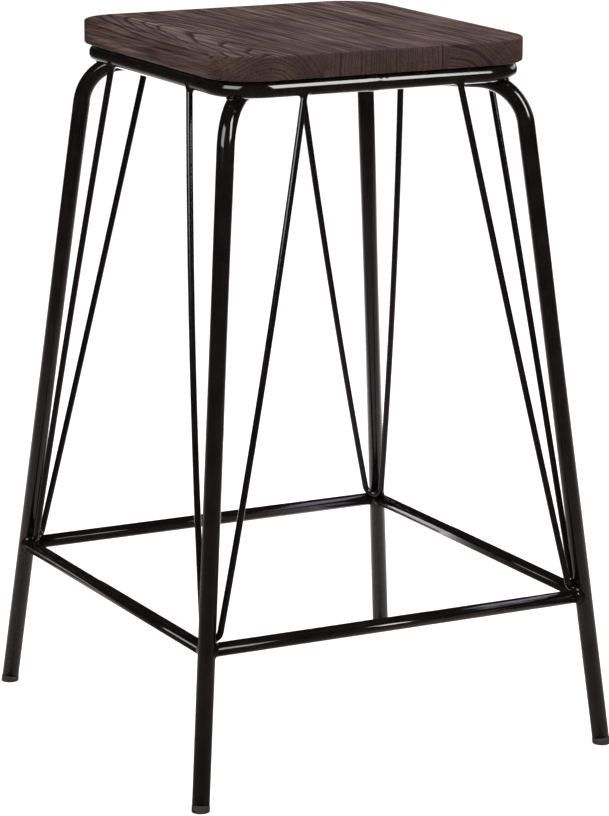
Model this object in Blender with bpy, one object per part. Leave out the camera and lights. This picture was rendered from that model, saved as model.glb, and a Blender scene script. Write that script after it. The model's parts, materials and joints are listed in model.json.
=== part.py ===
"""Counter-height bar stool: a stained three-stave wooden seat on a welded, gloss black steel frame.

The frame is four bent tube legs whose arms meet under the seat, a bent tube ring that carries the
seat, four straight rails that serve as footrests, and four bent rod braces. The seat is screwed to
tabs inside the ring, and each leg ends in a plastic foot.

Metres, +Z up, +X right, -Y front. The origin is on the floor, under the middle of the seat.
"""

import functools
import math

import bmesh
import bpy
from mathutils import Matrix, Vector

# Seat
SEAT_HEIGHT = 0.660
SEAT_WIDTH = 0.317
SEAT_DEPTH = 0.334
SEAT_THICKNESS = 0.022
SEAT_CORNER_RADIUS = 0.045
SEAT_EDGE_ROUND = 0.0025
MIDDLE_STAVE_WIDTH = 0.126

# Seat ring
RING_DIAMETER = 0.016
RING_WALL = 0.0015
RING_SETBACK_X = 0.002
RING_SETBACK_Y = 0.004
RING_CORNER_RADIUS = 0.040
VENT_HOLE_DIAMETER = 0.005

# Legs
LEG_DIAMETER = 0.016
LEG_WALL = 0.0015
LEG_BEND_RADIUS = 0.046
LEG_ARM_DROP = 0.010
FOOT_SPREAD_X = 0.418
FOOT_SPREAD_Y = 0.430

# Footrest rails
RAIL_DIAMETER = 0.0127
RAIL_WALL = 0.0012
RAIL_HEIGHT = 0.142

# Rod braces
BRACE_DIAMETER = 0.006
BRACE_BEND_RADIUS = 0.0085
BRACE_ARM_RADIUS = 9.4
BRACE_TOPS_FRONT = 0.155
BRACE_TOPS_SIDE = 0.162
BRACE_TOP_OUTSET = 0.004

# Feet
FOOT_LIP = 0.0002
FOOT_HEAD_HEIGHT = 0.006
FOOT_EDGE_ROUND = 0.001
FOOT_STEM_LENGTH = 0.020
FOOT_RIB_HEIGHT = 0.002
FOOT_RIB_PITCH = 0.005
FOOT_RIB_DEPTH = 0.0012
FOOT_RIBS = 3

# Seat fixings
TAB_LENGTH = 0.024
TAB_WIDTH = 0.028
TAB_THICKNESS = 0.003
TAB_CORNER_RADIUS = 0.006
TAB_HOLE_DIAMETER = 0.007
TAB_HOLE_FROM_END = 0.011
SCREW_DIAMETER = 0.006
SCREW_HEAD_DIAMETER = 0.0105
SCREW_HEAD_HEIGHT = 0.0033
SCREW_REACH = 0.0115
SOCKET_ACROSS_FLATS = 0.004
SOCKET_DEPTH = 0.002
SCREW_CHAMFER = 0.0008
WASHER_DIAMETER = 0.0125
WASHER_THICKNESS = 0.0016
INSERT_DIAMETER = 0.009
INSERT_LENGTH = 0.013

# Gaps: between pieces that are welded, glued, clamped or pushed together, and round a screw
TOUCH_GAP = 0.0003
END_ROOM = 0.001

# How finely round shapes are divided
TUBE_SIDES = 16
ROD_SIDES = 8
HARDWARE_SIDES = 16
SOCKET_SIDES = 6
BEND_STEPS = 8
CORNER_STEPS = 6
ROD_BEND_STEPS = 8
ROD_ARM_STEPS = 4
SEAT_CORNER_STEPS = 8
EDGE_STEPS = 2
SMOOTH_ANGLE = 35
ROD_SMOOTH_ANGLE = 60
MERGE_DISTANCE = 0.00003
TOUCH_STEPS = 60

LEG_RADIUS = LEG_DIAMETER / 2
RING_RADIUS = RING_DIAMETER / 2
RAIL_RADIUS = RAIL_DIAMETER / 2
BRACE_RADIUS = BRACE_DIAMETER / 2

SEAT_UNDERSIDE = SEAT_HEIGHT - SEAT_THICKNESS
RING_LEVEL = SEAT_UNDERSIDE - TOUCH_GAP - RING_RADIUS
ARM_LEVEL = RING_LEVEL - LEG_ARM_DROP
RING_HALF_X = SEAT_WIDTH / 2 - RING_SETBACK_X - RING_RADIUS
RING_HALF_Y = SEAT_DEPTH / 2 - RING_SETBACK_Y - RING_RADIUS

CORNERS = {"front_left": (-1, -1), "front_right": (1, -1), "back_left": (-1, 1), "back_right": (1, 1)}
SIDES = {"front": (0, -1), "back": (0, 1), "left": (-1, 0), "right": (1, 0)}
UP = Vector((0, 0, 1))


# ---------------------------------------------------------------- scene and materials


def clear_scene():
    for thing in list(bpy.data.objects):
        bpy.data.objects.remove(thing, do_unlink=True)


def make_material(name, colour, roughness, metallic):
    material = bpy.data.materials.new(name)
    material.use_nodes = True
    shader = material.node_tree.nodes["Principled BSDF"]
    shader.inputs["Base Color"].default_value = (*colour, 1)
    shader.inputs["Roughness"].default_value = roughness
    shader.inputs["Metallic"].default_value = metallic
    material.diffuse_color = (*colour, 1)
    return material


def add_object(name, mesh, material, stool):
    thing = bpy.data.objects.new(name, mesh)
    bpy.context.scene.collection.objects.link(thing)
    thing.parent = stool
    if material and not mesh.materials:
        mesh.materials.append(material)
    return thing


def finish_mesh(bm, name, smooth_angle=SMOOTH_ANGLE):
    """Turns a bmesh into a mesh, smooth wherever its faces meet at less than smooth_angle degrees."""
    mesh = bpy.data.meshes.new(name)
    bm.to_mesh(mesh)
    bm.free()
    mesh.shade_smooth()
    mesh.set_sharp_from_angle(angle=math.radians(smooth_angle))
    return mesh


def add_cutter(name, bm, stool):
    cutter = add_object(name, finish_mesh(bm, name), None, stool)
    cutter.hide_render = True
    cutter.display_type = "WIRE"
    return cutter


def cut(thing, cutter):
    boolean = thing.modifiers.new("cut", "BOOLEAN")
    boolean.operation = "DIFFERENCE"
    boolean.object = cutter


# ---------------------------------------------------------------- bending tube and rod


def only(kind, geometry):
    return [item for item in geometry if isinstance(item, kind)]


def start_loop(bm, radius, sides, start, direction):
    """A circle of edges square across a run, with a point at its highest and lowest places."""
    level = math.hypot(direction.x, direction.y) > abs(direction.z)
    across = direction.cross(UP if level else Vector((0, 1, 0))).normalized()
    top = across.cross(direction).normalized()
    turn = Matrix((top, direction.normalized().cross(top), direction.normalized())).transposed()
    place = Matrix.Translation(start) @ turn.to_4x4()
    made = bmesh.ops.create_circle(bm, segments=sides, radius=radius, matrix=place)
    bm.edges.index_update()
    edges = {edge for vert in made["verts"] for edge in vert.link_edges}
    return sorted(edges, key=lambda edge: edge.index)


def run_on(bm, loop, offset):
    made = bmesh.ops.extrude_edge_only(bm, edges=loop)["geom"]
    moved = only(bmesh.types.BMVert, made)
    bmesh.ops.translate(bm, verts=moved, vec=offset)
    return [edge for edge in only(bmesh.types.BMEdge, made) if all(vert in moved for vert in edge.verts)]


def bend_on(bm, loop, centre, axis, angle, steps):
    made = bmesh.ops.spin(
        bm, geom=loop, cent=centre, axis=axis, dvec=(0, 0, 0), angle=angle, steps=steps, use_duplicate=False
    )
    return only(bmesh.types.BMEdge, made["geom_last"])


def lay_skin(bm, radius, sides, start, direction, moves):
    """Carries a circle along a route of straight runs and bends, and returns its first and last loop."""
    first = start_loop(bm, radius, sides, start, direction)
    last = first
    for move in moves:
        if move[0] == "run":
            last = run_on(bm, last, move[1])
        else:
            last = bend_on(bm, last, *move[1:])
    return first, last


def loop_verts(loop):
    return {vert for edge in loop for vert in edge.verts}


def fit_end(loop, fit):
    for vert in loop_verts(loop):
        vert.co = fit(vert.co)


def clear_of_tube(point, direction, tube_point, tube_direction, distance):
    """Slides a point that starts inside a round tube along direction until it is distance from its axis."""
    axis = tube_direction.normalized()
    offset = point - tube_point
    offset = offset - axis * offset.dot(axis)
    step = direction - axis * direction.dot(axis)
    half = offset.dot(step)
    inside = offset.length_squared - distance**2
    slide = -half + math.sqrt(half**2 - step.length_squared * inside)
    return point + direction * (slide / step.length_squared)


def make_tube(name, radius, wall, start, direction, moves, fit_first=None, fit_last=None):
    """An open-ended tube: an outer and an inner skin on one route, joined at both ends."""
    bm = bmesh.new()
    outer = lay_skin(bm, radius, TUBE_SIDES, start, direction, moves)
    inner = lay_skin(bm, radius - wall, TUBE_SIDES, start, direction, moves)
    for outer_end, inner_end, fit in zip(outer, inner, (fit_first, fit_last)):
        for edges in zip(outer_end, inner_end):
            bmesh.ops.contextual_create(bm, geom=edges)
        if fit:
            fit_end(outer_end + inner_end, fit)
    bmesh.ops.recalc_face_normals(bm, faces=bm.faces)
    return finish_mesh(bm, name)


# ---------------------------------------------------------------- where the legs stand


def ring_distance(point):
    """How far a point is from the middle of the ring tube."""
    beyond_x = abs(point.x) - (RING_HALF_X - RING_CORNER_RADIUS)
    beyond_y = abs(point.y) - (RING_HALF_Y - RING_CORNER_RADIUS)
    at_corner = min(beyond_x, beyond_y) > 0
    flat = math.hypot(beyond_x, beyond_y) if at_corner else max(beyond_x, beyond_y)
    return math.hypot(flat - RING_CORNER_RADIUS, point.z - RING_LEVEL)


def bend_shape(corner, arm):
    """Where a leg's straight run starts and ends, its bend's middle, and the turn of the bend."""
    side_x, side_y = corner
    foot = Vector((side_x * FOOT_SPREAD_X / 2, side_y * FOOT_SPREAD_Y / 2, 0))
    out = Vector((side_x, side_y, 0)).normalized()
    bend_end = out * arm + UP * ARM_LEVEL
    # The bend plane holds the arm and the foot, and the straight run is tangent to the bend in it.
    axis = (foot - bend_end).cross(out).normalized()
    down = out.cross(axis)
    if down.z > 0:
        down = -down
    middle = bend_end + down * LEG_BEND_RADIUS
    to_foot = foot - middle
    swing = math.acos(LEG_BEND_RADIUS / to_foot.length)
    foot_angle = math.atan2(to_foot.dot(out), to_foot.dot(-down))
    turn = foot_angle - swing
    bend_start = middle + (out * math.sin(turn) - down * math.cos(turn)) * LEG_BEND_RADIUS
    return {
        "foot": foot, "out": out, "down": down, "turn": turn,
        "start": bend_start, "end": bend_end, "middle": middle,
    }


@functools.cache
def arm_length():
    """Length of a leg's level arm, from the stool's axis to its bend, with the ring resting on the bend."""
    arm = 0
    for _ in range(TOUCH_STEPS):
        # The bend slides out by the room that is left between it and the ring, so it never passes it.
        shape = bend_shape((1, 1), arm)
        room = []
        for step in range(TOUCH_STEPS + 1):
            angle = shape["turn"] * step / TOUCH_STEPS
            reach = shape["out"] * math.sin(angle) - shape["down"] * math.cos(angle)
            room.append(ring_distance(shape["middle"] + reach * LEG_BEND_RADIUS))
        arm += min(room) - (LEG_RADIUS + RING_RADIUS + TOUCH_GAP)
    return arm


def leg_shape(corner):
    return bend_shape(corner, arm_length())


def leg_axis(corner):
    """A point on the straight run's axis, at the floor, and the direction up along it."""
    shape = leg_shape(corner)
    return shape["foot"], (shape["start"] - shape["foot"]).normalized()


def leg_point(corner, height):
    foot, up_leg = leg_axis(corner)
    return foot + up_leg * (height / up_leg.z)


# ---------------------------------------------------------------- frame


def make_leg(name, corner):
    shape = leg_shape(corner)
    foot, up_leg = leg_axis(corner)
    start = foot + up_leg * (FOOT_HEAD_HEIGHT + TOUCH_GAP)
    inwards = -shape["out"]
    across = inwards.cross(UP)
    bend_axis = (shape["start"] - shape["middle"]).cross(shape["end"] - shape["middle"]).normalized()
    to_axis = Vector((0, 0, ARM_LEVEL)) - shape["end"]
    moves = [
        ("run", shape["start"] - start),
        ("bend", shape["middle"], bend_axis, shape["turn"], BEND_STEPS),
        ("run", to_axis),
    ]

    def mitre(point):
        return point - inwards * (abs(point.dot(across)) + TOUCH_GAP)

    return make_tube(name, LEG_RADIUS, LEG_WALL, start, up_leg, moves, fit_last=mitre)


def make_ring(name):
    """The seat ring: a closed loop of tube, so its inside is open only at the vent hole cut later."""
    straight_x = 2 * (RING_HALF_X - RING_CORNER_RADIUS)
    straight_y = 2 * (RING_HALF_Y - RING_CORNER_RADIUS)
    start = Vector((-straight_x / 2, -RING_HALF_Y, RING_LEVEL))
    moves = []
    along = Vector((1, 0, 0))
    place = start
    for length in (straight_x, straight_y, straight_x, straight_y):
        place = place + along * length
        centre = place + UP.cross(along) * RING_CORNER_RADIUS
        moves.append(("run", along * length))
        moves.append(("bend", centre, UP, math.pi / 2, CORNER_STEPS))
        place = centre + along * RING_CORNER_RADIUS
        along = UP.cross(along)
    bm = bmesh.new()
    for radius, inside in ((RING_RADIUS, False), (RING_RADIUS - RING_WALL, True)):
        old = set(bm.faces)
        lay_skin(bm, radius, TUBE_SIDES, start, Vector((1, 0, 0)), moves)
        skin = [face for face in bm.faces if face not in old]
        verts = sorted({vert for face in skin for vert in face.verts}, key=lambda vert: vert.index)
        bmesh.ops.remove_doubles(bm, verts=verts, dist=MERGE_DISTANCE)
        skin = [face for face in bm.faces if face not in old]
        bmesh.ops.recalc_face_normals(bm, faces=skin)
        if inside:
            bmesh.ops.reverse_faces(bm, faces=skin)
    return finish_mesh(bm, name)


def make_vent_cutter(stool):
    bm = bmesh.new()
    place = Matrix.Translation((0, RING_HALF_Y, RING_LEVEL + RING_RADIUS))
    bmesh.ops.create_cone(
        bm, cap_ends=True, segments=HARDWARE_SIDES, radius1=VENT_HOLE_DIAMETER / 2,
        radius2=VENT_HOLE_DIAMETER / 2, depth=RING_DIAMETER - 2 * RING_WALL, matrix=place,
    )
    return add_cutter("vent_hole_cutter", bm, stool)


def make_rail(name, from_corner, to_corner):
    start = leg_point(from_corner, RAIL_HEIGHT)
    end = leg_point(to_corner, RAIL_HEIGHT)
    along = (end - start).normalized()

    def cope(corner, inwards):
        """Fits an end round the leg, and mitres its inner side against the next rail round the same leg."""
        foot, up_leg = leg_axis(corner)
        middle = leg_point(corner, RAIL_HEIGHT)
        beside = -Vector((*corner, 0))
        beside = (beside - inwards * beside.dot(inwards)).normalized()

        def fit(point):
            point = clear_of_tube(point, inwards, foot, up_leg, LEG_RADIUS + TOUCH_GAP)
            offset = point - middle
            return point + inwards * max(offset.dot(beside) + TOUCH_GAP - offset.dot(inwards), 0)

        return fit

    return make_tube(
        name, RAIL_RADIUS, RAIL_WALL, start, along, [("run", end - start)],
        cope(from_corner, along), cope(to_corner, -along),
    )


# ---------------------------------------------------------------- braces


def brace_bottom(corner):
    """The lowest point of a brace's centre line: against the leg, just clear of the two rails there."""
    side_x, side_y = corner
    _, up_leg = leg_axis(corner)
    inwards = -Vector((side_x, side_y, 0)).normalized()
    beside = (LEG_RADIUS + BRACE_RADIUS + TOUCH_GAP) / up_leg.z
    clear = RAIL_RADIUS + BRACE_RADIUS + TOUCH_GAP
    rise = 0
    for step in range(2 * ROD_BEND_STEPS + 1):
        angle = step / (2 * ROD_BEND_STEPS) * math.pi / 2
        from_rail = (beside - BRACE_BEND_RADIUS * math.sin(angle)) / math.sqrt(2)
        needed = math.sqrt(max(clear**2 - from_rail**2, 0)) - BRACE_BEND_RADIUS * (1 - math.cos(angle))
        rise = max(rise, needed)
    return leg_point(corner, RAIL_HEIGHT + rise) + inwards * beside


def make_brace(name, corner):
    """One rod: down from a side of the ring, round a tight bend at the leg, and up to the next side."""
    side_x, side_y = corner
    bottom = brace_bottom(corner)
    ring_points = [
        Vector((side_x * RING_HALF_X, side_y * BRACE_TOPS_SIDE / 2, RING_LEVEL)),
        Vector((side_x * BRACE_TOPS_FRONT / 2, side_y * RING_HALF_Y, RING_LEVEL)),
    ]
    ring_runs = [Vector((0, 1, 0)), Vector((1, 0, 0))]
    # The rods meet the ring a little outside its middle, on the lower outer side of the tube.
    tops = [
        ring_points[0] + Vector((side_x * BRACE_TOP_OUTSET, 0, 0)),
        ring_points[1] + Vector((0, side_y * BRACE_TOP_OUTSET, 0)),
    ]
    across = (tops[1] - tops[0]).normalized()
    rise = (tops[0] - bottom) - across * (tops[0] - bottom).dot(across)
    rise.normalize()
    bend_middle = bottom + rise * BRACE_BEND_RADIUS
    extra = BRACE_ARM_RADIUS - BRACE_BEND_RADIUS
    arms = []
    for top, outwards in zip(tops, (-across, across)):
        # The arm is a very long arc, tangent to the tight bend, that passes through its top.
        to_top = top - bend_middle
        aside = to_top.dot(outwards)
        above = to_top.dot(rise)
        share = (to_top.length_squared + extra**2 - BRACE_ARM_RADIUS**2) / (2 * extra)
        turn = math.acos(share / to_top.length) - math.atan2(aside, above)
        middle = bend_middle + (rise * math.cos(turn) - outwards * math.sin(turn)) * extra
        bend_end = bend_middle + (outwards * math.sin(turn) - rise * math.cos(turn)) * BRACE_BEND_RADIUS
        arms.append({"middle": middle, "turn": turn, "sweep": (top - middle).angle(bend_end - middle)})
    axis = (tops[0] - arms[0]["middle"]).cross(bottom - arms[0]["middle"]).normalized()
    down_arm = axis.cross(tops[0] - arms[0]["middle"])
    moves = [
        ("bend", arms[0]["middle"], axis, arms[0]["sweep"], ROD_ARM_STEPS),
        ("bend", bend_middle, axis, arms[0]["turn"] + arms[1]["turn"], ROD_BEND_STEPS),
        ("bend", arms[1]["middle"], axis, arms[1]["sweep"], ROD_ARM_STEPS),
    ]
    bm = bmesh.new()
    ends = lay_skin(bm, BRACE_RADIUS, ROD_SIDES, tops[0], down_arm, moves)
    down_second = axis.cross(tops[1] - arms[1]["middle"]) * -1
    downs = (down_arm.normalized(), down_second.normalized())
    for loop, top, ring_point, ring_run, down in zip(ends, tops, ring_points, ring_runs, downs):
        fit = lambda point: clear_of_tube(point, down, ring_point, ring_run, RING_RADIUS + TOUCH_GAP)
        fit_end(loop, fit)
        cap = bmesh.ops.contextual_create(bm, geom=loop)["faces"]
        middle_vert = bmesh.ops.poke(bm, faces=cap)["verts"][0]
        middle_vert.co = fit(top)
    bmesh.ops.recalc_face_normals(bm, faces=bm.faces)
    return finish_mesh(bm, name, ROD_SMOOTH_ANGLE)


# ---------------------------------------------------------------- seat


def rounded_block(size, corner_radius, corner_steps, edge_round, edge_steps):
    """A flat block, its top at z = 0, with rounded upright corners and eased top and bottom edges."""
    bm = bmesh.new()
    place = Matrix.Translation((0, 0, -size.z / 2)) @ Matrix.Diagonal((*size, 1))
    bmesh.ops.create_cube(bm, size=1, matrix=place)
    upright = [edge for edge in bm.edges if abs(edge.verts[0].co.z - edge.verts[1].co.z) > size.z / 2]
    bmesh.ops.bevel(
        bm, geom=upright, offset=corner_radius, offset_type="OFFSET", segments=corner_steps,
        profile=0.5, affect="EDGES", material=-1,
    )
    if edge_round:
        flats = [face for face in bm.faces if len(face.verts) > len(upright)]
        rims = [edge for face in flats for edge in face.edges]
        bmesh.ops.bevel(
            bm, geom=rims, offset=edge_round, offset_type="OFFSET", segments=edge_steps,
            profile=0.5, affect="EDGES", material=-1,
        )
    return bm


def saw_off(bm, x, keep_right):
    """Cuts the blank straight down at x, keeps one side and closes the sawn face."""
    made = bmesh.ops.bisect_plane(
        bm, geom=bm.verts[:] + bm.edges[:] + bm.faces[:], plane_co=(x, 0, 0), plane_no=(1, 0, 0),
        clear_inner=keep_right, clear_outer=not keep_right,
    )
    bmesh.ops.contextual_create(bm, geom=only(bmesh.types.BMEdge, made["geom_cut"]))


def make_stave(name, left, right):
    """One edge-glued stave, from x = left to x = right; None is an outer side of the seat."""
    size = Vector((SEAT_WIDTH, SEAT_DEPTH, SEAT_THICKNESS))
    bm = rounded_block(size, SEAT_CORNER_RADIUS, SEAT_CORNER_STEPS, SEAT_EDGE_ROUND, EDGE_STEPS)
    bmesh.ops.translate(bm, verts=bm.verts, vec=(0, 0, SEAT_HEIGHT))
    if left is not None:
        saw_off(bm, left, True)
    if right is not None:
        saw_off(bm, right, False)
    bmesh.ops.recalc_face_normals(bm, faces=bm.faces)
    return finish_mesh(bm, name)


# ---------------------------------------------------------------- seat fixings

TAB_TOP = SEAT_UNDERSIDE - TOUCH_GAP
WASHER_TOP = TAB_TOP - TAB_THICKNESS - TOUCH_GAP
HEAD_TOP = WASHER_TOP - WASHER_THICKNESS - TOUCH_GAP
BORE_RADIUS = SCREW_DIAMETER / 2 + TOUCH_GAP


def tab_start():
    """How far inside the ring's middle a tab's welded end is, where its lower edge meets the tube."""
    drop = RING_LEVEL - (TAB_TOP - TAB_THICKNESS)
    return math.sqrt((RING_RADIUS + TOUCH_GAP) ** 2 - drop**2)


def fixing_place(side, inwards):
    """A point inwards from the ring tube's middle, at the middle of one side of the seat."""
    side_x, side_y = side
    return Vector((side_x * (RING_HALF_X - inwards), side_y * (RING_HALF_Y - inwards), 0))


def screw_place(side):
    return fixing_place(side, tab_start() + TAB_LENGTH - TAB_HOLE_FROM_END)


def drill(radius, bottom, top, segments, matrices):
    """Upright cutting cylinders, one at each matrix."""
    bm = bmesh.new()
    for matrix in matrices:
        place = matrix @ Matrix.Translation((0, 0, (bottom + top) / 2))
        bmesh.ops.create_cone(
            bm, cap_ends=True, segments=segments, radius1=radius, radius2=radius,
            depth=top - bottom, matrix=place,
        )
    return bm


def make_tab(name):
    """A flat tab with two rounded corners at its free end, lying along +X from its welded end at x = 0."""
    size = Vector((TAB_LENGTH, TAB_WIDTH, TAB_THICKNESS))
    bm = bmesh.new()
    place = Matrix.Translation((TAB_LENGTH / 2, 0, -TAB_THICKNESS / 2)) @ Matrix.Diagonal((*size, 1))
    bmesh.ops.create_cube(bm, size=1, matrix=place)
    free_corners = [
        edge for edge in bm.edges
        if all(vert.co.x > TAB_LENGTH / 2 for vert in edge.verts) and edge.calc_length() < TAB_WIDTH / 2
    ]
    bmesh.ops.bevel(
        bm, geom=free_corners, offset=TAB_CORNER_RADIUS, offset_type="OFFSET", segments=CORNER_STEPS,
        profile=0.5, affect="EDGES", material=-1,
    )
    return finish_mesh(bm, name)


def turn_profile(name, profile):
    """Spins a closed outline of (radius, height) points round the Z axis."""
    bm = bmesh.new()
    verts = [bm.verts.new((radius, 0, height)) for radius, height in profile]
    edges = [bm.edges.new(pair) for pair in zip(verts, verts[1:])]
    if profile[0][0] > 0:
        edges.append(bm.edges.new((verts[-1], verts[0])))
    bmesh.ops.spin(
        bm, geom=verts + edges, cent=(0, 0, 0), axis=(0, 0, 1), dvec=(0, 0, 0), angle=2 * math.pi,
        steps=HARDWARE_SIDES, use_merge=True, use_duplicate=False,
    )
    bmesh.ops.remove_doubles(bm, verts=bm.verts, dist=MERGE_DISTANCE)
    bmesh.ops.recalc_face_normals(bm, faces=bm.faces)
    return finish_mesh(bm, name)


def make_screw_mesh():
    """A flat-headed socket screw, head down, its tip up in the seat."""
    head = SCREW_HEAD_DIAMETER / 2
    shank = SCREW_DIAMETER / 2
    tip = SEAT_UNDERSIDE + SCREW_REACH
    bottom = HEAD_TOP - SCREW_HEAD_HEIGHT
    return turn_profile("seat_screw", [
        (0, bottom), (head - SCREW_CHAMFER, bottom), (head, bottom + SCREW_CHAMFER), (head, HEAD_TOP),
        (shank, HEAD_TOP), (shank, tip - SCREW_CHAMFER), (shank - SCREW_CHAMFER, tip), (0, tip),
    ])


def make_washer_mesh():
    bottom = WASHER_TOP - WASHER_THICKNESS
    outer = WASHER_DIAMETER / 2
    return turn_profile("seat_washer", [
        (BORE_RADIUS, bottom), (outer, bottom), (outer, WASHER_TOP), (BORE_RADIUS, WASHER_TOP),
    ])


def make_insert_mesh():
    outer = INSERT_DIAMETER / 2
    bottom = SEAT_UNDERSIDE
    top = SEAT_UNDERSIDE + INSERT_LENGTH
    return turn_profile("seat_insert", [
        (BORE_RADIUS, bottom), (outer, bottom), (outer, top), (BORE_RADIUS, top),
    ])


# ---------------------------------------------------------------- feet


def make_foot(name, corner):
    """A push-in foot: a head a little wider than the tube, cut level with the floor, and a ribbed stem."""
    foot, up_leg = leg_axis(corner)
    head = LEG_RADIUS + FOOT_LIP
    rib = LEG_RADIUS - LEG_WALL - TOUCH_GAP
    core = rib - FOOT_RIB_DEPTH
    below = -2 * FOOT_HEAD_HEIGHT
    profile = [(0, below), (head, below), (head, FOOT_HEAD_HEIGHT - FOOT_EDGE_ROUND)]
    profile += [(head - FOOT_EDGE_ROUND, FOOT_HEAD_HEIGHT), (core, FOOT_HEAD_HEIGHT)]
    for index in range(FOOT_RIBS):
        level = FOOT_HEAD_HEIGHT + FOOT_RIB_PITCH * (index + 0.5)
        rib_top = level + FOOT_RIB_HEIGHT
        profile += [(core, level), (rib, level), (rib, rib_top), (core, rib_top)]
    profile += [(core, FOOT_HEAD_HEIGHT + FOOT_STEM_LENGTH), (0, FOOT_HEAD_HEIGHT + FOOT_STEM_LENGTH)]
    mesh = turn_profile(name, profile)
    bm = bmesh.new()
    bm.from_mesh(mesh)
    bpy.data.meshes.remove(mesh)
    place = Matrix.Translation(foot) @ UP.rotation_difference(up_leg).to_matrix().to_4x4()
    bmesh.ops.transform(bm, matrix=place, verts=bm.verts)
    made = bmesh.ops.bisect_plane(
        bm, geom=bm.verts[:] + bm.edges[:] + bm.faces[:], plane_co=(0, 0, 0), plane_no=UP,
        clear_inner=True,
    )
    bmesh.ops.contextual_create(bm, geom=only(bmesh.types.BMEdge, made["geom_cut"]))
    bmesh.ops.recalc_face_normals(bm, faces=bm.faces)
    return finish_mesh(bm, name)


# ---------------------------------------------------------------- assembly


def build_frame(stool, enamel, foot_plastic):
    for corner_name, corner in CORNERS.items():
        add_object("leg_" + corner_name, make_leg("leg_" + corner_name, corner), enamel, stool)
        add_object("brace_" + corner_name, make_brace("brace_" + corner_name, corner), enamel, stool)
        add_object("foot_" + corner_name, make_foot("foot_" + corner_name, corner), foot_plastic, stool)
    for name, ends in {
        "rail_front": ("front_left", "front_right"),
        "rail_back": ("back_left", "back_right"),
        "rail_left": ("front_left", "back_left"),
        "rail_right": ("front_right", "back_right"),
    }.items():
        add_object(name, make_rail(name, CORNERS[ends[0]], CORNERS[ends[1]]), enamel, stool)
    ring = add_object("seat_ring", make_ring("seat_ring"), enamel, stool)
    cut(ring, make_vent_cutter(stool))


def build_seat(stool, wood):
    half = MIDDLE_STAVE_WIDTH / 2
    gap = TOUCH_GAP / 2
    staves = {
        "seat_stave_left": (None, -half - gap),
        "seat_stave_middle": (-half + gap, half - gap),
        "seat_stave_right": (half + gap, None),
    }
    places = [Matrix.Translation(screw_place(side)) for side in SIDES.values()]
    holes = drill(
        INSERT_DIAMETER / 2 + TOUCH_GAP, SEAT_UNDERSIDE - END_ROOM,
        SEAT_UNDERSIDE + INSERT_LENGTH + END_ROOM, HARDWARE_SIDES, places,
    )
    cutter = add_cutter("insert_hole_cutter", holes, stool)
    for name, (left, right) in staves.items():
        cut(add_object(name, make_stave(name, left, right), wood, stool), cutter)


def build_fixings(stool, enamel, zinc, brass):
    screw, washer, insert = make_screw_mesh(), make_washer_mesh(), make_insert_mesh()
    tab = make_tab("seat_tab")
    across_corners = SOCKET_ACROSS_FLATS / math.cos(math.pi / SOCKET_SIDES)
    places = [Matrix.Translation(screw_place(side)) for side in SIDES.values()]
    holes = drill(
        TAB_HOLE_DIAMETER / 2, TAB_TOP - TAB_THICKNESS - END_ROOM, TAB_TOP + END_ROOM,
        HARDWARE_SIDES, places,
    )
    head_bottom = HEAD_TOP - SCREW_HEAD_HEIGHT
    sockets = drill(
        across_corners / 2, head_bottom - END_ROOM, head_bottom + SOCKET_DEPTH, SOCKET_SIDES, places
    )
    hole_cutter = add_cutter("tab_hole_cutter", holes, stool)
    socket_cutter = add_cutter("screw_socket_cutter", sockets, stool)
    for side_name, side in SIDES.items():
        piece = add_object("seat_tab_" + side_name, tab, enamel, stool)
        piece.location = fixing_place(side, tab_start()) + UP * TAB_TOP
        piece.rotation_euler.z = math.atan2(-side[1], -side[0])
        cut(piece, hole_cutter)
        turned = (("screw", screw, zinc), ("washer", washer, zinc), ("insert", insert, brass))
        for label, mesh, material in turned:
            piece = add_object(f"seat_{label}_{side_name}", mesh, material, stool)
            piece.location = screw_place(side)
            if label == "screw":
                cut(piece, socket_cutter)


clear_scene()
stool = bpy.data.objects.new("bar_stool", None)
bpy.context.scene.collection.objects.link(stool)
enamel = make_material("black_enamel", (0.012, 0.011, 0.012), 0.12, 0.0)
wood = make_material("stained_wood", (0.062, 0.042, 0.036), 0.45, 0.0)
plastic = make_material("foot_plastic", (0.015, 0.015, 0.016), 0.5, 0.0)
zinc = make_material("zinc_plate", (0.6, 0.6, 0.62), 0.3, 1.0)
brass = make_material("brass", (0.7, 0.5, 0.25), 0.35, 1.0)
build_frame(stool, enamel, plastic)
build_seat(stool, wood)
build_fixings(stool, enamel, zinc, brass)
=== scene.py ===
import json
import math

import bmesh
import bpy
from mathutils import Matrix, Vector, noise


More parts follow.
